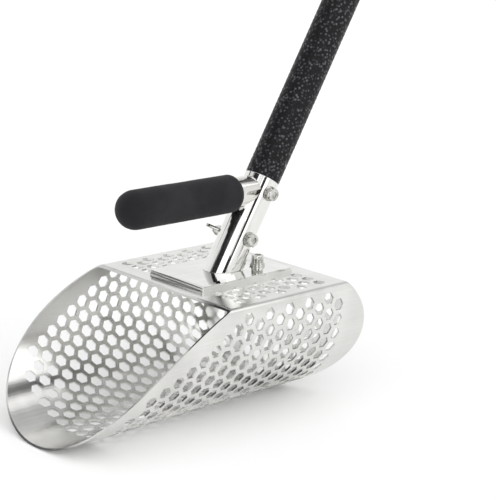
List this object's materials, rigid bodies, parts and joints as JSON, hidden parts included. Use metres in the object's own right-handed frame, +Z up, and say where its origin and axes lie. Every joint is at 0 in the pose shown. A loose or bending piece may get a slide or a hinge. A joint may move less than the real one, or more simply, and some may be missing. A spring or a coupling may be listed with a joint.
{
  "type": "beach sand scoop",
  "caption": "Long-handled beach sand scoop: perforated steel basket with a tongue-shaped lip under a flat top, leaning socket with foam grip, and a sectioned black pole.",
  "frame": {"origin": "on the ground plane under the basket, at the centre of the whole part's box seen from above", "axes": "+X towards the scoop's mouth, +Y towards the side with the cross bolts' heads, +Z up; the pole leans back towards -X"},
  "size_m": [0.801, 0.1682, 1.1227],
  "materials": {
    "basket_steel": "satin stainless sheet with a fine grain",
    "plate_steel": "bright rolled stainless plate",
    "polished_steel": "mirror polished stainless tube",
    "fasteners": "bright stainless hardware",
    "pole_aluminium": "plain drawn tube",
    "sleeve": "embossed glossy black shrink sleeve",
    "foam": "matte closed-cell foam",
    "cap_rubber": "matte black"
  },
  "bodies": {
    "scoop": {"basket_sheet": "basket_steel", "back_plate": "basket_steel", "lower_mounting_plate": "plate_steel", "upper_mounting_plate": "plate_steel", "plate_bolts": "fasteners", "plate_washers": "fasteners", "plate_nuts": "fasteners", "socket_tube": "polished_steel", "grip_stub": "polished_steel", "foam_grip": "foam", "lower_pole_tube": "pole_aluminium", "lower_pole_sleeve": "sleeve", "middle_pole_tube": "pole_aluminium", "middle_pole_sleeve": "sleeve", "upper_pole_tube": "pole_aluminium", "upper_pole_sleeve": "sleeve", "lower_spigot": "pole_aluminium", "upper_spigot": "pole_aluminium", "end_cap": "cap_rubber", "cross_bolts": "fasteners", "head_washers": "fasteners", "nut_washers": "fasteners"},
    "wing_nut_low": {"wing_nut_low": "fasteners"},
    "wing_nut_high": {"wing_nut_high": "fasteners"},
    "snap_button_low": {"snap_button_low": "fasteners"},
    "snap_button_high": {"snap_button_high": "fasteners"}
  },
  "joints": [
    {"name": "wing_nut_low_turn", "type": "hinge", "parent": "scoop", "child": "wing_nut_low", "pos_m": [0.19414, -0.02, 0.13454], "axis": [0, -1, 0], "range_deg": [-90, 90]},
    {"name": "wing_nut_high_turn", "type": "hinge", "parent": "scoop", "child": "wing_nut_high", "pos_m": [0.17269, -0.02, 0.17065], "axis": [0, -1, 0], "range_deg": [-90, 90]},
    {"name": "snap_button_low_press", "type": "slide", "parent": "scoop", "child": "snap_button_low", "axis": [0, -1, 0], "range_m": [0, 0.0055], "stiffness_N_per_m": 800},
    {"name": "snap_button_high_press", "type": "slide", "parent": "scoop", "child": "snap_button_high", "axis": [0, -1, 0], "range_m": [0, 0.0055], "stiffness_N_per_m": 800}
  ]
}
